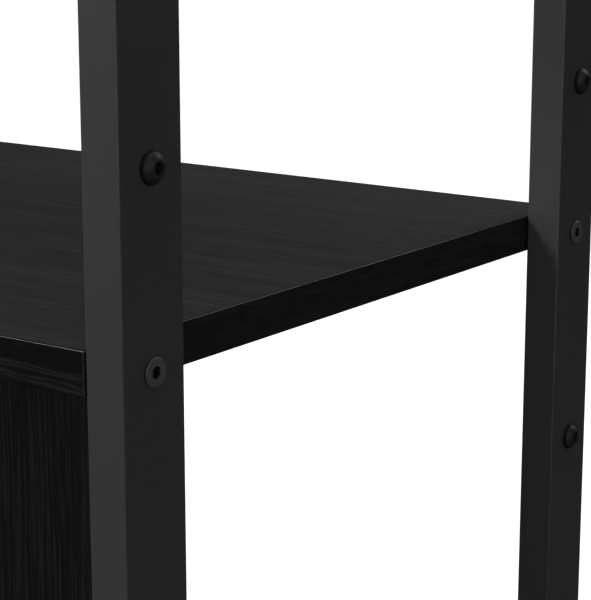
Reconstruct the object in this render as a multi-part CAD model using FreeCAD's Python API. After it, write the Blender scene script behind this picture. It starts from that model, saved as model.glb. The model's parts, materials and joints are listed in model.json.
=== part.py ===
"""Open bookcase with two adjustable shelves: two welded tube side frames carry a fixed top and bottom
board, and two more boards rest on support bolts that can be moved to other holes in the posts.

Frame: millimetres, +X to the right, +Y to the back, +Z up. The origin is on the floor, in the middle of
the footprint. Each node is written to parts/NODE.step.
"""
import FreeCAD, Part
import math
import os

Vector = FreeCAD.Vector

# Overall sizes
height = 1200.0
width = 550.0            # over the posts, without the bolt heads
depth = 310.0

# Side frame tube
post_width = 15.0        # along X, the narrow side that faces the front
post_depth = 30.0        # along Y
rail_height = 30.0
tube_wall = 1.2
tube_corner = 0.8

# Boards
board_thickness = 15.0
edging_thickness = 1.0
edging_round = 0.5
divider_thickness = 15.0
divider_setback = 5.0    # behind the front edge of the boards, and in front of the back edge
shelf_end_gap = 0.4      # between a lift-off shelf and each post
shelf_divider_gap = 0.4  # between the divider's top and the shelf above it

# Heights of the middle of each board
bottom_level = 80.0
lower_shelf_level = 450.0
upper_shelf_level = 815.0
spare_hole_rise = 64.0   # from a shelf's own holes up to its higher spare holes
spare_hole_drop = 90.0   # and down to its lower ones

# Bolts and screws
thread = 6.0
thread_clearance = 0.1   # between a thread and its nut, on the diameter
hole_clearance = 0.6     # between a thread and a plain hole, on the diameter
key_size = 4.0           # across the flats of the hexagon socket
flat_head_diameter = 9.8
flat_head_height = 1.0
flat_head_chamfer = 0.3
flat_socket_depth = 2.4
button_head_diameter = 11.0
button_head_height = 3.3
button_rim = 0.4
button_top_flat = 2.9    # radius of the flat on top of the dome
button_socket_depth = 2.2
closing_screw_length = 14.0
support_pin_reach = 12.0   # how far a support bolt stands out of the post, under the shelf's seat
support_seat_gap = 0.3     # round the pin in its seat
bore_end_gap = 1.0         # past the tip of a bolt, in the bore or seat that holds it
board_bolt_reach = 38.0    # how far a fixed board's bolt goes into the board
barrel_nut_distance = 30.0
barrel_nut_diameter = 10.0
barrel_nut_length = 12.0
barrel_nut_gap = 0.1
height_nut_diameter = 10.0
height_nut_length = 5.0

# Divider dowels
dowel_diameter = 8.0
dowel_length = 30.0
dowel_in_board = 10.0
dowel_gap = 0.05
dowel_spacing = 200.0

# Feet and plastic ends
foot_diameter = 18.0
foot_height = 5.0
foot_round = 1.0
foot_stem_diameter = 8.0
foot_stem_length = 22.0
foot_travel_gap = 0.3      # between the pad and the insert when the foot is screwed right in
insert_flange = 1.5
insert_length = 26.0
insert_gap = 0.1
cap_thickness = 1.5
cap_plug_length = 6.0

# Wall bracket
bracket_width = 30.0
bracket_leg = 30.0
bracket_foot = 25.0
bracket_thickness = 1.5
bracket_hole = 5.0
bracket_screw_diameter = 4.0
bracket_screw_length = 12.0
bracket_screw_head = 8.0
bracket_screw_head_height = 2.0

# Sizes that follow
inner_half_width = width / 2 - post_width            # to the posts' inner faces
post_x = width / 2 - post_width / 2
post_y = depth / 2 - post_depth / 2
post_bottom = foot_height + foot_travel_gap + insert_flange
post_top = height - cap_thickness
top_level = post_top - rail_height / 2
hole_diameter = thread + hole_clearance
nut_bore = thread + thread_clearance
half_board = board_thickness / 2
bracket_screw_y = depth / 2 - bracket_foot / 2 - bracket_thickness
fixed_levels = {"bottom": bottom_level, "top": top_level}
shelf_levels = {"lower": lower_shelf_level, "upper": upper_shelf_level}
sides = {"left": -1, "right": 1}
ends = {"front": -1, "back": 1}
corners = [(side, end) for side in sides.values() for end in ends.values()]


def box(x, y, z):
    """A box from three (low, high) pairs."""
    (x0, x1), (y0, y1), (z0, z1) = x, y, z
    return Part.makeBox(x1 - x0, y1 - y0, z1 - z0, Vector(x0, y0, z0))


def around(middle, size):
    return (middle - size / 2, middle + size / 2)


def round_edges(shape, direction, radius):
    """Rounds the straight edges that run along a direction."""
    along = Vector(*direction)
    edges = [e for e in shape.Edges if abs(abs(e.tangentAt(e.FirstParameter).dot(along)) - 1) < 1e-6]
    return shape.makeFillet(radius, edges)


def cylinder(diameter, length, base, direction):
    return Part.makeCylinder(diameter / 2, length, Vector(*base), Vector(*direction))


def hexagon(across_flats, length, top):
    """A hexagonal prism that hangs from z = top."""
    radius = across_flats / math.sqrt(3)
    points = [Vector(radius * math.cos(math.radians(60 * k)), radius * math.sin(math.radians(60 * k)), top)
              for k in range(7)]
    return Part.Face(Part.makePolygon(points)).extrude(Vector(0, 0, -length))


def point_out(screw, side, x, y, z):
    """Turns a screw that was made head up, so that its head points out of the side, and places it."""
    placed = screw.copy()
    placed.rotate(Vector(0, 0, 0), Vector(0, 1, 0), 90 * side)
    placed.translate(Vector(x, y, z))
    return placed


def tube(x, y, z, direction):
    """A rectangular tube with round outer corners, along one of the axes."""
    outer = round_edges(box(x, y, z), direction, tube_corner)
    walls = [(low + tube_wall * (1 - abs(d)), high - tube_wall * (1 - abs(d)))
             for (low, high), d in zip((x, y, z), direction)]
    return outer.cut(box(*walls))


def shelf_hole_levels():
    return [level + shift for level in shelf_levels.values()
            for shift in (-spare_hole_drop, 0, spare_hole_rise)]


def post(side, end):
    x = around(side * post_x, post_width)
    body = tube(x, around(end * post_y, post_depth), (post_bottom, post_top), (0, 0, 1))
    for level in list(fixed_levels.values()) + shelf_hole_levels():
        body = body.cut(cylinder(hole_diameter, post_width, (x[0], end * post_y, level), (1, 0, 0)))
    return body


def rail(side, level):
    y = depth / 2 - post_depth
    return tube(around(side * post_x, post_width), (-y, y), around(level, rail_height), (0, 1, 0))


def lies_at(edge, axis, place):
    return all(abs(vertex.Point[axis] - place) < 1e-6 for vertex in edge.Vertexes)


def edged_panel(x, y, z, flat_axis):
    """A board's core and the strip glued round its four edges; flat_axis is across the thickness."""
    whole = (x, y, z)
    inner = [pair if axis == flat_axis else (pair[0] + edging_thickness, pair[1] - edging_thickness)
             for axis, pair in enumerate(whole)]
    outer = box(*whole)
    rim = [edge for edge in outer.Edges
           if any(lies_at(edge, flat_axis, face) for face in whole[flat_axis])]
    core = box(*inner)
    return core, outer.makeFillet(edging_round, rim).cut(core)


def fixed_board(level):
    core, edging = edged_panel((-inner_half_width, inner_half_width), (-depth / 2, depth / 2),
                               around(level, board_thickness), 2)
    for side, end in corners:
        bore = cylinder(hole_diameter, board_bolt_reach + bore_end_gap,
                        (side * inner_half_width, end * post_y, level), (-side, 0, 0))
        x = side * (inner_half_width - barrel_nut_distance)
        seat = cylinder(barrel_nut_diameter + 2 * barrel_nut_gap,
                        half_board + barrel_nut_length / 2 + barrel_nut_gap,
                        (x, end * post_y, level - half_board), (0, 0, 1))
        core = core.cut(bore.fuse(seat))
        edging = edging.cut(bore)
    return core, edging


def lift_off_shelf(level):
    """A shelf whose ends have four seats, open underneath, that come down over the support pins."""
    half_length = inner_half_width - shelf_end_gap
    core, edging = edged_panel((-half_length, half_length), (-depth / 2, depth / 2),
                               around(level, board_thickness), 2)
    seat_size = thread + 2 * support_seat_gap
    for side, end in corners:
        inner_end = side * (inner_half_width - support_pin_reach - bore_end_gap)
        x = tuple(sorted((inner_end, side * inner_half_width)))
        arch = cylinder(seat_size, x[1] - x[0], (x[0], end * post_y, level), (1, 0, 0))
        slot = box(x, around(end * post_y, seat_size), (level - half_board, level))
        core = core.cut(arch.fuse(slot))
        edging = edging.cut(arch.fuse(slot))
    return core, edging


def divider():
    core, edging = edged_panel(around(0, divider_thickness),
                               (divider_setback - depth / 2, depth / 2 - divider_setback),
                               (bottom_level + half_board,
                                lower_shelf_level - half_board - shelf_divider_gap), 0)
    for dowel in dowels(dowel_gap):
        core = core.cut(dowel)
        edging = edging.cut(dowel)
    return core, edging


def dowels(gap=0.0):
    base = bottom_level + half_board - dowel_in_board - gap
    return [cylinder(dowel_diameter + 2 * gap, dowel_length + 2 * gap, (0, y, base), (0, 0, 1))
            for y in (-dowel_spacing / 2, dowel_spacing / 2)]


def flat_head_bolt(reach):
    """A thin flat head on a bolt that goes through a post and on by the reach."""
    head = cylinder(flat_head_diameter, flat_head_height, (0, 0, 0), (0, 0, 1))
    rim = [e for e in head.Edges if abs(e.BoundBox.ZMin - flat_head_height) < 1e-6]
    head = head.makeChamfer(flat_head_chamfer, rim)
    shank = cylinder(thread, post_width + reach, (0, 0, 0), (0, 0, -1))
    return head.fuse(shank).cut(hexagon(key_size, flat_socket_depth, flat_head_height)).removeSplitter()


def button_head_screw():
    """A domed head with a flat top round its socket, on a short thread."""
    base, rise = button_head_diameter / 2, button_head_height - button_rim
    # the arc runs from the rim to the edge of the flat and is centred on the screw's axis
    centre = (rise ** 2 + button_top_flat ** 2 - base ** 2) / (2 * rise)
    radius = math.hypot(base, centre)
    angle = (math.atan2(-centre, base) + math.atan2(rise - centre, button_top_flat)) / 2
    middle = Vector(radius * math.cos(angle), 0, button_rim + centre + radius * math.sin(angle))
    rim_top = Vector(base, 0, button_rim)
    flat_edge = Vector(button_top_flat, 0, button_head_height)
    corner, foot, top = Vector(base, 0, 0), Vector(0, 0, 0), Vector(0, 0, button_head_height)
    profile = Part.Wire([Part.LineSegment(foot, corner).toShape(),
                         Part.LineSegment(corner, rim_top).toShape(),
                         Part.Arc(rim_top, middle, flat_edge).toShape(),
                         Part.LineSegment(flat_edge, top).toShape(),
                         Part.LineSegment(top, foot).toShape()])
    head = Part.Face(profile).revolve(Vector(0, 0, 0), Vector(0, 0, 1), 360)
    shank = cylinder(thread, closing_screw_length, (0, 0, 0), (0, 0, -1))
    return head.fuse(shank).cut(hexagon(key_size, button_socket_depth, button_head_height)).removeSplitter()


def heads_at(screw, levels):
    """One screw at each of the levels in all four posts, its head on the post's outer face."""
    return [point_out(screw, side, side * width / 2, end * post_y, level)
            for level in levels for side, end in corners]


def barrel_nuts(level):
    nuts = []
    for side, end in corners:
        x, y = side * (inner_half_width - barrel_nut_distance), end * post_y
        low_end = (x, y, level - barrel_nut_length / 2)
        nut = cylinder(barrel_nut_diameter, barrel_nut_length, low_end, (0, 0, 1))
        cross = cylinder(nut_bore, 2 * barrel_nut_diameter, (x - barrel_nut_diameter, y, level), (1, 0, 0))
        nuts.append(nut.cut(cross))
    return nuts


def height_nuts(side):
    """The threads inside the posts, on the inner wall, at every hole that a shelf can use."""
    nuts = []
    start = side * (inner_half_width + tube_wall)
    for end in ends.values():
        for level in shelf_hole_levels():
            base = (start, end * post_y, level)
            nut = cylinder(height_nut_diameter, height_nut_length, base, (side, 0, 0))
            nuts.append(nut.cut(cylinder(nut_bore, height_nut_length, base, (side, 0, 0))))
    return nuts


def end_plug(side, end, flange_z, plug_z):
    """A flange with the post's outline and a plug that fills the inside of the tube."""
    x, y = side * post_x, end * post_y
    flange = box(around(x, post_width), around(y, post_depth), flange_z)
    flange = round_edges(flange, (0, 0, 1), tube_corner)
    inside = 2 * (tube_wall + insert_gap)
    return flange.fuse(box(around(x, post_width - inside), around(y, post_depth - inside), plug_z))


def top_cap(side, end):
    cap = end_plug(side, end, (post_top, height), (post_top - cap_plug_length, post_top))
    return cap.removeSplitter()


def foot_insert(side, end):
    plug = end_plug(side, end, (post_bottom - insert_flange, post_bottom),
                    (post_bottom, post_bottom + insert_length))
    bore = cylinder(foot_stem_diameter + thread_clearance, insert_length + insert_flange,
                    (side * post_x, end * post_y, post_bottom - insert_flange), (0, 0, 1))
    return plug.cut(bore).removeSplitter()


def foot(side, end):
    base = (side * post_x, end * post_y, 0)
    pad = cylinder(foot_diameter, foot_height, base, (0, 0, 1))
    rim = [e for e in pad.Edges if len(e.Vertexes) == 1]
    stem = cylinder(foot_stem_diameter, foot_stem_length, (base[0], base[1], foot_height), (0, 0, 1))
    return pad.makeFillet(foot_round, rim).fuse(stem)


def wall_bracket():
    """An angle under the top board. Its upright leg is flush with the back and takes a screw to the wall."""
    top, back = top_level - half_board, depth / 2
    x = around(0, bracket_width)
    foot_plate = box(x, (back - bracket_foot, back), (top - bracket_thickness, top))
    leg = box(x, (back - bracket_thickness, back), (top - bracket_leg, top))
    hole = cylinder(bracket_hole, bracket_thickness, (0, back, top - bracket_leg / 2 - bracket_thickness),
                    (0, -1, 0))
    screw_hole = cylinder(bracket_screw_diameter + hole_clearance, bracket_thickness,
                          (0, bracket_screw_y, top), (0, 0, -1))
    return foot_plate.fuse(leg).cut(hole).cut(screw_hole).removeSplitter()


def bracket_screw():
    seat = top_level - half_board - bracket_thickness
    head = cylinder(bracket_screw_head, bracket_screw_head_height, (0, bracket_screw_y, seat), (0, 0, -1))
    lower_edge = [e for e in head.Edges if abs(e.BoundBox.ZMax - seat + bracket_screw_head_height) < 1e-6]
    shank = cylinder(bracket_screw_diameter, bracket_screw_length, (0, bracket_screw_y, seat), (0, 0, 1))
    return head.makeFillet(bracket_screw_head_height / 2, lower_edge).fuse(shank)


def all_nodes():
    nodes = {}
    for side_name, side in sides.items():
        for end_name, end in ends.items():
            nodes[f"{side_name}_{end_name}_post"] = [post(side, end)]
            nodes[f"{side_name}_{end_name}_foot"] = [foot(side, end)]
        nodes[f"{side_name}_top_rail"] = [rail(side, top_level)]
        nodes[f"{side_name}_bottom_rail"] = [rail(side, bottom_level)]
        nodes[f"{side_name}_height_nuts"] = height_nuts(side)
    for name, level in fixed_levels.items():
        core, edging = fixed_board(level)
        nodes[f"{name}_board"] = [core]
        nodes[f"{name}_board_edging"] = [edging]
        nodes[f"{name}_board_bolts"] = heads_at(flat_head_bolt(board_bolt_reach), [level])
        nodes[f"{name}_board_barrel_nuts"] = barrel_nuts(level)
    for name, level in shelf_levels.items():
        core, edging = lift_off_shelf(level)
        nodes[f"{name}_shelf"] = [core]
        nodes[f"{name}_shelf_edging"] = [edging]
        nodes[f"{name}_shelf_support_bolts"] = heads_at(flat_head_bolt(support_pin_reach), [level])
        spares = [level - spare_hole_drop, level + spare_hole_rise]
        nodes[f"{name}_shelf_spare_hole_screws"] = heads_at(button_head_screw(), spares)
    core, edging = divider()
    nodes["divider"] = [core]
    nodes["divider_edging"] = [edging]
    nodes["divider_dowels"] = dowels()
    nodes["post_top_caps"] = [top_cap(side, end) for side, end in corners]
    nodes["foot_inserts"] = [foot_insert(side, end) for side, end in corners]
    nodes["wall_bracket"] = [wall_bracket()]
    nodes["wall_bracket_screw"] = [bracket_screw()]
    # the boards that take a dowel or a screw are drilled for it
    for dowel in dowels(dowel_gap):
        nodes["bottom_board"] = [nodes["bottom_board"][0].cut(dowel)]
    nodes["top_board"] = [nodes["top_board"][0].cut(nodes["wall_bracket_screw"][0])]
    return nodes


def main():
    os.makedirs("parts", exist_ok=True)
    for name, solids in all_nodes().items():
        kept = [solid for shape in solids for solid in shape.Solids]
        for solid in kept:
            if not solid.isValid():
                print("not valid:", name)
        shape = kept[0] if len(kept) == 1 else Part.makeCompound(kept)
        shape.exportStep(f"parts/{name}.step")
        print(name, len(kept), "solids", round(shape.Volume, 1), "mm3")


main()
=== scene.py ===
import bmesh
import bpy
import json
import math
from mathutils import Matrix, Vector


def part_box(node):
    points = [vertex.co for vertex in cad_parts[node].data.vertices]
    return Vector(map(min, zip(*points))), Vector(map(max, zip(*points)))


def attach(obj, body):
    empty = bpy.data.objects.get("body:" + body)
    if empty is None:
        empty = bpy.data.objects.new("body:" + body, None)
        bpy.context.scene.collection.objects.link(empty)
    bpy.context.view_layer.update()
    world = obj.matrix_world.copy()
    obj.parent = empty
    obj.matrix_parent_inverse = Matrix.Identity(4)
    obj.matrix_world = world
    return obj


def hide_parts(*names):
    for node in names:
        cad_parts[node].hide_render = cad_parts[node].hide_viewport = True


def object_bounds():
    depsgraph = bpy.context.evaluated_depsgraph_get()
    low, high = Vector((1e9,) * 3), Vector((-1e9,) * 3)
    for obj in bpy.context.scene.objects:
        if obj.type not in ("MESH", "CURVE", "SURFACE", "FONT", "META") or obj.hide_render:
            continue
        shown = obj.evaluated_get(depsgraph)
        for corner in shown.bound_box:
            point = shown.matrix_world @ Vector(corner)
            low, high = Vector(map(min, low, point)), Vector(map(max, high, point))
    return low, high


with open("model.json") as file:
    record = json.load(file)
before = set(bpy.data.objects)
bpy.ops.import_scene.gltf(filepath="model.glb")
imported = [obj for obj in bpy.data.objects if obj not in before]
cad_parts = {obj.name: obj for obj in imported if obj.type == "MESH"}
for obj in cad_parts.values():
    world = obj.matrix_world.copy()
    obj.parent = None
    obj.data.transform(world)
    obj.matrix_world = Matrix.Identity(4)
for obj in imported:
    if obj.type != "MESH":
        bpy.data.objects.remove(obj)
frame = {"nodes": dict(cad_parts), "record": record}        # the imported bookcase: bodies, nodes, joints and record
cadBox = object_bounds()
nodes = frame["nodes"]
sides = ("left", "right")
ends = ("front", "back")
alongX, alongY, alongZ = 0, 1, 2
sharpAngle = math.radians(35)   # edges that turn by more than this stay crisp
print("frame loaded:", len(nodes), "nodes")


class Wire:
    # one socket of a node tree, so that shader maths reads as plain sums; without a socket it
    # only makes nodes
    def __init__(self, tree, socket=None):
        self.tree = tree
        self.socket = socket

    def make(self, kind, settings, values, output=0):
        made = self.tree.nodes.new(kind)
        for name, value in settings.items():
            if name == "stops":
                self.setStops(made.color_ramp.elements, value)
            else:
                setattr(made, name, value)
        for name, value in values.items():
            if isinstance(value, Wire):
                self.tree.links.new(value.socket, made.inputs[name])
            else:
                made.inputs[name].default_value = value
        return Wire(self.tree, made.outputs[output])

    def setStops(self, elements, stops):
        for place, tone in stops[1:-1]:
            elements.new(place)
        for element, (place, tone) in zip(elements, stops):
            element.position = place
            element.color = (tone, tone, tone, 1)

    def maths(self, operation, first, second):
        return self.make("ShaderNodeMath", {"operation": operation}, {0: first, 1: second})

    def __add__(self, other):
        return self.maths("ADD", self, other)

    def __radd__(self, other):
        return self.maths("ADD", other, self)

    def __sub__(self, other):
        return self.maths("SUBTRACT", self, other)

    def __rsub__(self, other):
        return self.maths("SUBTRACT", other, self)

    def __mul__(self, other):
        return self.maths("MULTIPLY", self, other)

    def __rmul__(self, other):
        return self.maths("MULTIPLY", other, self)


def startMaterial(name, constants):
    # an empty Principled material, its even values set, and the wire of its Object coordinates
    material = bpy.data.materials.new(name)
    material.use_nodes = True
    shader = material.node_tree.nodes["Principled BSDF"]
    for socket, value in constants.items():
        shader.inputs[socket].default_value = value
    place = Wire(material.node_tree).make("ShaderNodeTexCoord", {}, {}, "Object")
    return material, shader, place


def noise(place, size, detail=2.0, stretch=(1, 1, 1), output="Fac"):
    # soft noise whose blobs are about size metres across, or size / stretch along each axis
    scales = tuple(s / size for s in stretch)
    scaled = place.make("ShaderNodeMapping", {}, {"Vector": place, "Scale": scales})
    return place.make("ShaderNodeTexNoise", {}, {"Vector": scaled, "Scale": 1.0, "Detail": detail}, output)


def ramp(value, stops):
    return value.make("ShaderNodeValToRGB", {"stops": stops}, {"Fac": value})


def blend(amount, low, high):
    # from one colour to another
    return amount.make("ShaderNodeMix", {"data_type": "RGBA"}, {"Factor": amount, 6: low, 7: high}, 2)


def feed(shader, **wires):
    # links the wires to the shader's sockets; baseColor goes to Base Color
    socketNames = {"baseColor": "Base Color", "roughness": "Roughness", "normal": "Normal"}
    for name, wire in wires.items():
        wire.tree.links.new(wire.socket, shader.inputs[socketNames[name]])


def bump(height, strength, distance):
    return height.make("ShaderNodeBump", {}, {"Height": height, "Strength": strength, "Distance": distance})


def grey(value, blueTint=1.0):
    return (value, value, value * blueTint, 1)


def mix(first, second, share):
    return first * (1 - share) + second * share


def spread(value, middle, width):
    # a varying value whose noise swings it evenly about its middle
    return value * width + (middle - width / 2)


powderCoat = {"dark": 0.0245, "light": 0.0300, "blueTint": 1.03, "roughness": 0.40, "unevenness": 0.16,
              "gloss": 0.30, "grain": 0.0007, "grainDetail": 1.5, "ripple": 0.0034, "rippleDetail": 1.0,
              "patch": 0.11, "relief": 0.30, "depth": 0.00010,
              "grainInTone": 0.3, "grainInRoughness": 0.375, "grainInRelief": 0.35}


def makePowderCoat():
    material, shader, place = startMaterial("satinPowderCoat", {"Specular IOR Level": powderCoat["gloss"]})
    speckle = noise(place, powderCoat["grain"], powderCoat["grainDetail"])
    peel = noise(place, powderCoat["ripple"], powderCoat["rippleDetail"])
    patch = noise(place, powderCoat["patch"])
    tone = mix(patch, speckle, powderCoat["grainInTone"])
    unevenness = mix(patch, speckle, powderCoat["grainInRoughness"])
    height = mix(peel, speckle, powderCoat["grainInRelief"])
    feed(shader,
         baseColor=blend(tone, grey(powderCoat["dark"]), grey(powderCoat["light"], powderCoat["blueTint"])),
         roughness=spread(unevenness, powderCoat["roughness"], powderCoat["unevenness"]),
         normal=bump(height, powderCoat["relief"], powderCoat["depth"]))
    return material


# what all the woods share; scales are of the noise along the grain
grain = {"driftSize": 0.09, "driftScale": 0.35, "driftDetail": 1.0,
         "bandSize": 0.045, "bandScale": 0.12, "bandDetail": 1.0,
         "lineDetail": 2.5, "poreDetail": 1.5, "poreStrength": 0.7, "poreTone": 0.35,
         "bandRoughness": 0.06, "poreRoughness": 0.12, "streakPolish": 0.2,
         "streakHeight": 0.55, "poreDepth": 0.8, "depth": 0.00030,
         "streakStops": ((0.47, 0.0), (0.555, 0.25), (0.60, 1.0), (0.64, 0.30), (0.75, 0.10)),
         "poreStops": ((0.33, 1.0), (0.42, 0.0))}
oak = {"dark": 0.0019, "light": 0.0036, "streak": 0.0150, "lift": 1.0, "line": 0.0060, "lineLength": 0.30,
       "pore": 0.0013, "poreLength": 0.045, "wander": 0.012, "roughness": 0.50, "gloss": 0.42,
       "relief": 0.45}
uprightOak = {"dark": 0.0010, "light": 0.0020, "streak": 0.0250, "lift": 1.0, "line": 0.0018,
              "lineLength": 0.11, "pore": 0.0008, "poreLength": 0.020, "wander": 0.007,
              "roughness": 0.50, "gloss": 0.42, "relief": 0.45}
# painted light and shade: the strip's long edges are painted darker and its ends lighter; the last value sets how
# much of the band tone the long edges keep
edging = {"dark": 0.0003, "light": 0.0058, "streak": 0.0105, "lift": 1.0, "line": 0.0026,
          "lineLength": 0.06, "pore": 0.0008, "poreLength": 0.014, "wander": 0.016,
          "roughness": 0.28, "gloss": 0.20, "relief": 0.15, "frontLight": 0.25}


def alongScales(axis, scale):
    # scales the noise along one axis by this much and leaves the other two as they are
    return tuple(scale if k == axis else 1.0 for k in range(3))


def oakGrain(place, axis, wood):
    # wavering light streaks, short dark pores and slow bands, all along one axis
    across = tuple(0.0 if k == axis else wood["wander"] for k in range(3))
    driftScales = alongScales(axis, grain["driftScale"])
    drift = noise(place, grain["driftSize"], grain["driftDetail"], driftScales, "Color")
    wavy = place.make("ShaderNodeVectorMath", {"operation": "MULTIPLY_ADD"},
                      {0: drift, 1: across, 2: place})
    lineScales = alongScales(axis, wood["line"] / wood["lineLength"])
    poreScales = alongScales(axis, wood["pore"] / wood["poreLength"])
    lines = noise(wavy, wood["line"], grain["lineDetail"], lineScales)
    pores = noise(wavy, wood["pore"], grain["poreDetail"], poreScales)
    bands = noise(wavy, grain["bandSize"], grain["bandDetail"], alongScales(axis, grain["bandScale"]))
    return ramp(lines, grain["streakStops"]), ramp(pores, grain["poreStops"]), bands


def finishOak(shader, streak, pit, bands, wood):
    body = blend(bands, grey(wood["dark"]), grey(wood["light"]))
    lit = blend(streak * wood["lift"], body, grey(wood["streak"]))
    polish = streak * grain["streakPolish"] * wood["relief"]
    unevenness = bands * grain["bandRoughness"] + pit * grain["poreRoughness"] - polish
    height = streak * grain["streakHeight"] - pit * grain["poreDepth"]
    feed(shader, baseColor=blend(pit * grain["poreStrength"], lit, grey(wood["dark"] * grain["poreTone"])),
         roughness=wood["roughness"] + unevenness,
         normal=bump(height, wood["relief"], grain["depth"]))


def makeOak(name, axis, wood):
    material, shader, place = startMaterial(name, {"Specular IOR Level": wood["gloss"]})
    finishOak(shader, *oakGrain(place, axis, wood), wood)
    return material


def makeOakEdging(name, alongFaces, acrossFaces, endAxis, endPlace):
    # the strip's grain runs one way on the long edges and the other way on the ends, which lie
    # farther than endPlace's first value from its second
    material, shader, place = startMaterial(name, {"Specular IOR Level": edging["gloss"]})
    farEnough, middle = endPlace
    sideways = place.make("ShaderNodeSeparateXYZ", {}, {"Vector": place}, endAxis)
    distance = place.make("ShaderNodeMath", {"operation": "ABSOLUTE"}, {0: sideways - middle})
    onEnd = place.make("ShaderNodeMath", {"operation": "GREATER_THAN"}, {0: distance, 1: farEnough})
    onEdges = oakGrain(place, alongFaces, edging)
    onEnds = oakGrain(place, acrossFaces, edging)
    streak, pit, bands = [mix(first, second, onEnd) for first, second in zip(onEdges, onEnds)]
    # painted light and shade: on the long edges the band tone is cut to a quarter, so they are painted darker, and
    # on the ends it is full, so they are painted lighter, for how the light falls on each
    shade = bands * (1 - onEnd) * edging["frontLight"] + onEnd
    finishOak(shader, streak, pit, shade, edging)
    return material


# painted light and shade: one black oxide in two tones, the flat heads painted lighter and the domed heads darker,
# for how the light falls on a flat face and on a dome
flatHead = {"dark": 0.037, "light": 0.048, "blueTint": 1.04, "roughness": 0.55, "gloss": 0.25,
            "recess": 0.0015, "recessHeight": 0.0004, "recessRoughness": 0.85}
domedHead = {"dark": 0.009, "light": 0.015, "blueTint": 1.04, "roughness": 0.53, "gloss": 0.14,
             "recess": 0.0015, "recessHeight": 0.0012, "recessRoughness": 0.83}
oxide = {"mottle": 0.0022, "mottleDetail": 3.0, "scratch": 0.0006, "scratchDetail": 1.0,
         "scratchScale": 0.12, "unevenness": 0.16, "fade": 0.0002,
         "relief": 0.25, "depth": 0.00006, "scratchShare": 0.5}


def makeBlackOxide(name, head):
    # painted shade: below the head's face, in the socket and round the foot of the head, the colour is painted near
    # black and the surface is rougher, as the shade that falls there
    material, shader, place = startMaterial(name, {"Specular IOR Level": head["gloss"]})
    mottle = noise(place, oxide["mottle"], oxide["mottleDetail"])
    scratchScales = alongScales(alongZ, oxide["scratchScale"])
    scratch = noise(place, oxide["scratch"], oxide["scratchDetail"], scratchScales)
    sideways = place.make("ShaderNodeSeparateXYZ", {}, {"Vector": place}, "X")
    outward = place.make("ShaderNodeMath", {"operation": "ABSOLUTE"}, {0: sideways})
    # painted shade: this mask is 0 below the head's face, where the socket and the foot of the head are painted near
    # black
    rim = postFace + head["recessHeight"]
    outOfPaintedShade = place.make("ShaderNodeMapRange", {},
                        {"Value": outward, "From Min": rim, "From Max": rim + oxide["fade"]})
    face = blend(mottle, grey(head["dark"]), grey(head["light"], head["blueTint"]))
    dull = spread(mottle, head["recessRoughness"], oxide["unevenness"])
    feed(shader, baseColor=blend(outOfPaintedShade, grey(head["recess"]), face),
         roughness=dull - outOfPaintedShade * (head["recessRoughness"] - head["roughness"]),
         normal=bump(mix(mottle, scratch, oxide["scratchShare"]), oxide["relief"], oxide["depth"]))
    return material


zinc = {"dark": (0.36, 0.36, 0.35, 1), "light": (0.62, 0.63, 0.62, 1), "bloom": 0.0035, "detail": 3.0,
        "roughness": 0.405, "unevenness": 0.25, "relief": 0.15, "depth": 0.00008}


def makeZinc():
    material, shader, place = startMaterial("zincPlate", {"Metallic": 1.0})
    bloom = noise(place, zinc["bloom"], zinc["detail"])
    feed(shader, baseColor=blend(bloom, zinc["dark"], zinc["light"]),
         roughness=spread(bloom, zinc["roughness"], zinc["unevenness"]),
         normal=bump(bloom, zinc["relief"], zinc["depth"]))
    return material


mouldedPlastic = {"dark": 0.012, "light": 0.018, "roughness": 0.52, "unevenness": 0.14, "gloss": 0.4,
                  "spark": 0.0009, "flow": 0.012, "relief": 0.35, "depth": 0.00009}


def makeMouldedPlastic():
    constants = {"Specular IOR Level": mouldedPlastic["gloss"]}
    material, shader, place = startMaterial("mouldedPlastic", constants)
    spark = noise(place, mouldedPlastic["spark"])
    flow = noise(place, mouldedPlastic["flow"])
    feed(shader, baseColor=blend(flow, grey(mouldedPlastic["dark"]), grey(mouldedPlastic["light"])),
         roughness=spread(spark, mouldedPlastic["roughness"], mouldedPlastic["unevenness"]),
         normal=bump(spark, mouldedPlastic["relief"], mouldedPlastic["depth"]))
    return material


beech = {"dark": (0.36, 0.22, 0.12, 1), "light": (0.62, 0.43, 0.27, 1), "fleck": 0.0012,
         "fleckScale": 0.08, "detail": 3.0, "roughness": 0.6, "unevenness": 0.2,
         "relief": 0.3, "depth": 0.0001}


def makeBeech():
    material, shader, place = startMaterial("beechDowel", {})
    fleck = noise(place, beech["fleck"], beech["detail"], alongScales(alongZ, beech["fleckScale"]))
    feed(shader, baseColor=blend(fleck, beech["dark"], beech["light"]),
         roughness=spread(fleck, beech["roughness"], beech["unevenness"]),
         normal=bump(fleck, beech["relief"], beech["depth"]))
    return material


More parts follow.
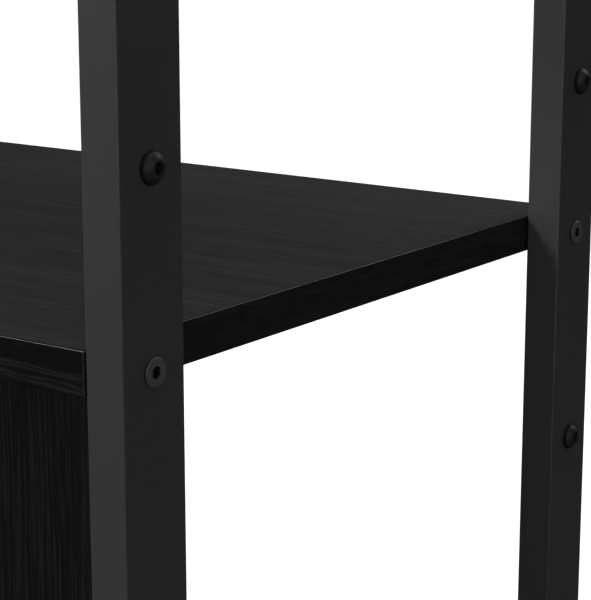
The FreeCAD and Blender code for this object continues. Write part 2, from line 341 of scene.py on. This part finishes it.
print("materials")
shelfLow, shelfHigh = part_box("lower_shelf_edging")
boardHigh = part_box("bottom_board_edging")[1]
dividerLow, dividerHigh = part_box("divider_edging")
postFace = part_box("right_front_post")[1].x
pastGlue = 1.02   # the ends' grain starts just inside the strip's inner face
stripDepth = (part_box("lower_shelf")[0].y - shelfLow.y) * pastGlue
dividerMiddle = (dividerLow.z + dividerHigh.z) / 2
dividerReach = dividerHigh.z - dividerMiddle - stripDepth
finishes = {
    "powderCoat": makePowderCoat(),
    "oakAcross": makeOak("oakAcross", alongX, oak),
    "oakUpright": makeOak("oakUpright", alongZ, uprightOak),
    "shelfEdging": makeOakEdging("shelfEdging", alongX, alongY, "X", (shelfHigh.x - stripDepth, 0.0)),
    "boardEdging": makeOakEdging("boardEdging", alongX, alongY, "X", (boardHigh.x - stripDepth, 0.0)),
    "dividerEdging": makeOakEdging("dividerEdging", alongZ, alongY, "Z", (dividerReach, dividerMiddle)),
    "flatHead": makeBlackOxide("flatHeadOxide", flatHead),
    "domedHead": makeBlackOxide("domedHeadOxide", domedHead),
    "zinc": makeZinc(),
    "plastic": makeMouldedPlastic(),
    "beech": makeBeech(),
}


def dress(node, finish):
    mesh = nodes[node].data
    mesh.materials.clear()
    mesh.materials.append(finishes[finish])


wholeFinish = {"post": "powderCoat", "rail": "powderCoat", "bracket": "powderCoat",
               "screw": "powderCoat", "bolts": "flatHead", "screws": "domedHead",
               "nuts": "zinc", "dowels": "beech",
               "foot": "plastic", "caps": "plastic", "inserts": "plastic",
               "board": "oakAcross", "shelf": "oakAcross", "divider": "oakUpright"}
edgingFinish = {"bottom_board": "boardEdging", "top_board": "boardEdging", "lower_shelf": "shelfEdging",
                "upper_shelf": "shelfEdging", "divider": "dividerEdging"}
for node in nodes:
    if node.endswith("_edging"):
        dress(node, edgingFinish[node.removesuffix("_edging")])
    else:
        dress(node, wholeFinish[node.split("_")[-1]])


def keepPiece(name, bm, finish, body):
    # writes the mesh, with its place in it, and lets it ride on its body
    bmesh.ops.recalc_face_normals(bm, faces=bm.faces)
    mesh = bpy.data.meshes.new(name)
    bm.to_mesh(mesh)
    bm.free()
    for face in mesh.polygons:
        face.use_smooth = True
    mesh.set_sharp_from_angle(angle=sharpAngle)
    mesh.materials.append(finishes[finish])
    piece = bpy.data.objects.new(name, mesh)
    bpy.context.scene.collection.objects.link(piece)
    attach(piece, body)
    return piece


def turnedRings(bm, rings, base, points):
    # stacks circles of (radius, height) and closes both ends
    start = bmesh.ops.create_circle(bm, cap_ends=True, segments=points, radius=rings[0][0],
                                    matrix=Matrix.Translation(base + Vector((0, 0, rings[0][1]))))
    loop = [e for e in bm.edges if all(v in start["verts"] for v in e.verts)]
    radius, height = rings[0]
    for nextRadius, nextHeight in rings[1:]:
        grown = bmesh.ops.extrude_edge_only(bm, edges=loop)["geom"]
        verts = [g for g in grown if isinstance(g, bmesh.types.BMVert)]
        loop = [g for g in grown if isinstance(g, bmesh.types.BMEdge)]
        middle = base + Vector((0, 0, height))
        factor = nextRadius / radius
        bmesh.ops.scale(bm, verts=verts, vec=(factor, factor, 1), space=Matrix.Translation(-middle))
        bmesh.ops.translate(bm, verts=verts, vec=(0, 0, nextHeight - height))
        radius, height = nextRadius, nextHeight
    bmesh.ops.contextual_create(bm, geom=loop)


bodies = frame["record"]["behaviour"]["bodies"]
bodyOf = {node: body for body, members in bodies.items() for node in members}
smoothKinds = ("post", "rail", "bolts", "screws", "screw", "edging", "bracket")
smoothing = {"joinWithin": 1e-6, "flattenWeight": 100}


def smoothCopy(node):
    # the same shape with its triangles joined, so that rounded corners and domes shade smoothly
    source = nodes[node]
    bm = bmesh.new()
    bm.from_mesh(source.data)
    bmesh.ops.remove_doubles(bm, verts=bm.verts, dist=smoothing["joinWithin"])
    mesh = bpy.data.meshes.new(node + "Surface")
    bm.to_mesh(mesh)
    bm.free()
    if "custom_normal" in mesh.attributes:
        mesh.attributes.remove(mesh.attributes["custom_normal"])
    for face in mesh.polygons:
        face.use_smooth = True
        face.material_index = 0
    mesh.set_sharp_from_angle(angle=sharpAngle)
    mesh.materials.clear()
    mesh.materials.append(source.data.materials[0])
    first, *others = node.split("_")
    name = first + "".join(word.title() for word in others) + "Surface"
    piece = bpy.data.objects.new(name, mesh)
    bpy.context.scene.collection.objects.link(piece)
    # wide faces stay flat beside small roundings
    flatten = piece.modifiers.new("flatten", "WEIGHTED_NORMAL")
    flatten.weight = smoothing["flattenWeight"]
    flatten.keep_sharp = True
    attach(piece, bodyOf[node])
    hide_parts(node)


foot = {"padRadius": 0.0088, "padHeight": 0.005, "baseRadius": 0.0078, "baseHeight": 0.0011,
        "rim": 0.0006, "baseRimHeight": 0.0003, "groove": 0.0001, "topRim": 0.0007,
        "ribs": 30, "ribDepth": 0.0006, "ribStart": 0.0001,
        "stemRadius": 0.00395, "threadDepth": 0.0005, "pitch": 0.00125, "sink": 0.0002,
        "crestStart": 0.4, "crestEnd": 0.55, "points": 24}


def makeFoot(side, end):
    node = f"{side}_{end}_foot"
    low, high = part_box(node)
    base = Vector(((low.x + high.x) / 2, (low.y + high.y) / 2, low.z))
    bm = bmesh.new()
    padTop = foot["padHeight"]
    baseRadius, padRadius, rim = foot["baseRadius"], foot["padRadius"], foot["rim"]
    padLow = foot["baseHeight"] + foot["groove"]
    pad = ((baseRadius - rim, 0.0), (baseRadius, foot["baseRimHeight"]), (baseRadius, foot["baseHeight"]),
           (padRadius - rim, padLow), (padRadius, padLow + rim),
           (padRadius, padTop - foot["topRim"]), (padRadius - foot["topRim"], padTop))
    turnedRings(bm, pad, base, foot["ribs"] * 2)
    for vert in bm.verts:
        spot = vert.co - base
        outward = Vector((spot.x, spot.y, 0))
        rib = round(math.atan2(spot.y, spot.x) / math.pi * foot["ribs"])
        if outward.length > padRadius - foot["ribStart"] and rib % 2:
            vert.co -= outward.normalized() * foot["ribDepth"]
    pitch = foot["pitch"]
    threads = int((high.z - low.z - padTop) / pitch) - 1
    crest, root = foot["stemRadius"], foot["stemRadius"] - foot["threadDepth"]
    rings = [(root, padTop - foot["sink"])]
    for k in range(threads):
        height = padTop + (k + 0.5) * pitch
        rings += [(root, height), (crest, height + pitch * foot["crestStart"]),
                  (crest, height + pitch * foot["crestEnd"])]
    rings += [(root, padTop + (threads + 0.5) * pitch), (root - rim, high.z - low.z)]
    turnedRings(bm, rings, base, foot["points"])
    piece = keepPiece(f"{side}{end.title()}LevellingFoot", bm, "plastic", node)
    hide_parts(node)


weld = {"radius": 0.0011, "ripple": 0.0015, "stepsPerRipple": 4, "swell": 0.16, "inset": 0.0012,
        "points": 10, "overlap": 0.25, "tipSize": 0.5}


def layBead(bm, start, run):
    # one bead along X that thins at both tips and swells at each ripple
    perRipple = weld["stepsPerRipple"]
    steps = round(run / weld["ripple"]) * perRipple
    turn = Matrix.Rotation(math.pi / 2, 4, "Y")
    ring = bmesh.ops.create_circle(bm, cap_ends=True, segments=weld["points"],
                                   radius=weld["radius"] * weld["tipSize"],
                                   matrix=Matrix.Translation(start) @ turn)
    loop = [e for e in bm.edges if all(v in ring["verts"] for v in e.verts)]
    size = weld["tipSize"]
    for k in range(1, steps + 1):
        grown = bmesh.ops.extrude_edge_only(bm, edges=loop)["geom"]
        verts = [g for g in grown if isinstance(g, bmesh.types.BMVert)]
        loop = [g for g in grown if isinstance(g, bmesh.types.BMEdge)]
        fromTip = min(k, steps - k) / perRipple
        fullSize = min(1.0, weld["tipSize"] + fromTip * (1 - weld["tipSize"]))
        wanted = fullSize - weld["swell"] * (k % perRipple) / perRipple
        middle = start + Vector((run * (k - 1) / steps, 0, 0))
        bmesh.ops.scale(bm, verts=verts, vec=(1, wanted / size, wanted / size),
                        space=Matrix.Translation(-middle))
        bmesh.ops.translate(bm, verts=verts, vec=(run / steps, 0, 0))
        size = wanted
    bmesh.ops.contextual_create(bm, geom=loop)


def makeWelds(side, level):
    # a rippled bead where each end of a rail meets its post, along the rail's top and underside
    low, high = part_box(f"{side}_{level}_rail")
    run = high.x - low.x - 2 * weld["inset"]
    bm = bmesh.new()
    for endY in (low.y, high.y):
        inward = weld["radius"] * weld["overlap"] * (1 if endY < 0 else -1)
        for edgeZ in (low.z, high.z):
            layBead(bm, Vector((low.x + weld["inset"], endY + inward, edgeZ)), run)
    keepPiece(f"{side}{level.title()}WeldBeads", bm, "powderCoat", "frame")


cap = {"corner": 0.0008, "plugCorner": 0.00024, "edge": 0.0006, "plug": 0.0060, "wall": 0.0013,
       "cornerSteps": 4, "edgeSteps": 3, "onTop": 1e-5}


def addBlock(bm, lowXy, highXy, lowZ, highZ, corner):
    # an upright block whose four standing edges are rounded
    size = Vector((*(highXy - lowXy), highZ - lowZ))
    middle = Vector((*((highXy + lowXy) / 2), (highZ + lowZ) / 2))
    made = bmesh.ops.create_cube(bm, size=1, matrix=Matrix.LocRotScale(middle, None, size))
    standing = {e for v in made["verts"] for e in v.link_edges
                if abs(e.verts[0].co.z - e.verts[1].co.z) > size.z / 2}
    bmesh.ops.bevel(bm, geom=list(standing), offset=corner, offset_type="OFFSET", affect="EDGES",
                    segments=cap["cornerSteps"], profile=0.5, material=-1)


def makeCaps():
    # flanges with softened top edges, over plugs that fill the tubes
    bm = bmesh.new()
    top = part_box("post_top_caps")[1].z
    wall = Vector((cap["wall"], cap["wall"]))
    for side in sides:
        for end in ends:
            low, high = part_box(f"{side}_{end}_post")
            addBlock(bm, low.xy, high.xy, high.z, top, cap["corner"])
            addBlock(bm, low.xy + wall, high.xy - wall, high.z - cap["plug"], high.z, cap["plugCorner"])
    rim = [e for e in bm.edges if all(v.co.z > top - cap["onTop"] for v in e.verts)]
    bmesh.ops.bevel(bm, geom=rim, offset=cap["edge"], offset_type="OFFSET", affect="EDGES",
                    segments=cap["edgeSteps"], profile=0.5, material=-1)
    piece = keepPiece("postCaps", bm, "plastic", "frame")
    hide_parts("post_top_caps")


print("smooth surfaces")
for node in nodes:
    if node.split("_")[-1] in smoothKinds:
        smoothCopy(node)
print("feet, welds and caps")
for side in sides:
    for end in ends:
        makeFoot(side, end)
    for level in ("top", "bottom"):
        makeWelds(side, level)
makeCaps()


studio = {"floorSize": 14.0, "floorTone": 0.80, "toneSwing": 0.02, "mottle": 0.4, "floorRoughness": 0.9,
          "floorGlow": 0.72, "nearGlow": 1.02, "farGlow": 1.42, "glowStart": 0.3, "glowReach": 1.3,
          "bounce": 0.07, "roomLight": 0.035, "backdrop": 1.0}


def makeFloor():
    bm = bmesh.new()
    bmesh.ops.create_grid(bm, x_segments=1, y_segments=1, size=studio["floorSize"])
    mesh = bpy.data.meshes.new("studioFloor")
    bm.to_mesh(mesh)
    bm.free()
    floor = bpy.data.objects.new("studioFloor", mesh)
    bpy.context.scene.collection.objects.link(floor)
    material, shader, place = startMaterial("paleFloor", {"Roughness": studio["floorRoughness"],
                                                         "Specular IOR Level": 0.0})
    tone, swing = studio["floorTone"], studio["toneSwing"]
    mottle = noise(place, studio["mottle"])
    feed(shader, baseColor=blend(mottle, grey(tone - swing), grey(tone + swing)))
    distance = place.make("ShaderNodeVectorMath", {"operation": "LENGTH"}, {0: place}, "Value")
    strength = place.make("ShaderNodeMapRange", {"interpolation_type": "SMOOTHSTEP"},
                          {"Value": distance, "From Min": studio["glowStart"],
                           "From Max": studio["glowReach"],
                           "To Min": studio["nearGlow"], "To Max": studio["farGlow"]})
    glow = place.make("ShaderNodeEmission", {}, {"Color": grey(1.0), "Strength": strength})
    direct = place.make("ShaderNodeLightPath", {}, {}, "Is Camera Ray")
    lit = place.make("ShaderNodeMixShader", {}, {0: studio["floorGlow"],
                                                 1: Wire(place.tree, shader.outputs[0]), 2: glow})
    # light that bounces off the floor is kept low, so that the black faces above it stay dark
    dull = place.make("ShaderNodeBsdfDiffuse", {}, {"Color": grey(studio["bounce"])})
    mixed = place.make("ShaderNodeMixShader", {}, {0: direct, 1: dull, 2: lit})
    place.tree.links.new(mixed.socket, place.tree.nodes["Material Output"].inputs["Surface"])
    mesh.materials.append(material)


def makeRoom():
    # white where the camera sees past the floor, and a dim, even room to all other rays
    world = bpy.data.worlds.new("studioRoom")
    world.use_nodes = True
    tree = world.node_tree
    wire = Wire(tree)
    direct = wire.make("ShaderNodeLightPath", {}, {}, "Is Camera Ray")
    dim = wire.make("ShaderNodeBackground", {}, {"Color": grey(1.0), "Strength": studio["roomLight"]})
    white = wire.make("ShaderNodeBackground", {}, {"Color": grey(1.0), "Strength": studio["backdrop"]})
    mixed = wire.make("ShaderNodeMixShader", {}, {0: direct, 1: dim, 2: white})
    tree.links.new(mixed.socket, tree.nodes["World Output"].inputs["Surface"])
    bpy.context.scene.world = world


lights = {
    "key": {"from": (-1.5, -2.0, 2.4), "size": 0.9, "power": 112},
    "fillFront": {"from": (0.9, -3.2, 0.9), "size": 1.3, "power": 17},
    "fillRight": {"from": (2.6, -1.0, 1.4), "size": 1.8, "power": 25},
    "overhead": {"from": (0.3, 0.2, 3.6), "size": 2.6, "power": 44},
    "back": {"from": (0.6, 2.6, 2.2), "size": 1.8, "power": 28},
    "fillLeft": {"from": (-2.8, 0.4, 1.3), "size": 1.8, "power": 20},
    "cornerLine": {"from": (1.7, -2.1, 0.15), "size": 0.5, "power": 6},
    "frontSheen": {"from": (-2.14, -1.95, 0.95), "size": 0.7, "power": 7},
}


def makeLight(name, settings, target):
    data = bpy.data.lights.new(name, "AREA")
    data.shape = "DISK"
    data.size = settings["size"]
    data.energy = settings["power"]
    light = bpy.data.objects.new(name, data)
    bpy.context.scene.collection.objects.link(light)
    light.location = settings["from"]
    light.rotation_euler = (target - light.location).to_track_quat("-Z", "Y").to_euler()


print("studio")
makeFloor()
makeRoom()
centre = (cadBox[0] + cadBox[1]) / 2
for name, settings in lights.items():
    makeLight(name, settings, centre)
bpy.context.scene.view_settings.view_transform = "Standard"

# the camera looks down past the right front post at the lower shelf's right end
cameraView = {"lens": 117.3, "sensor": 36, "nearClip": 0.01, "toTheRight": 0.3896,
              "toTheFront": 0.4365, "aboveShelf": 0.1500, "turn": 35.41, "tilt": 12.95}
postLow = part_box("right_front_post")[0]
cameraData = bpy.data.cameras.new("camera")
cameraData.lens = cameraView["lens"]
cameraData.sensor_width = cameraView["sensor"]
cameraData.clip_start = cameraView["nearClip"]
camera = bpy.data.objects.new("camera", cameraData)
bpy.context.scene.collection.objects.link(camera)
camera.location = (postLow.x + cameraView["toTheRight"], postLow.y - cameraView["toTheFront"],
                   shelfHigh.z + cameraView["aboveShelf"])
camera.rotation_euler = (math.radians(90 - cameraView["tilt"]), 0, math.radians(cameraView["turn"]))
bpy.context.scene.camera = camera

print("pieces ready")
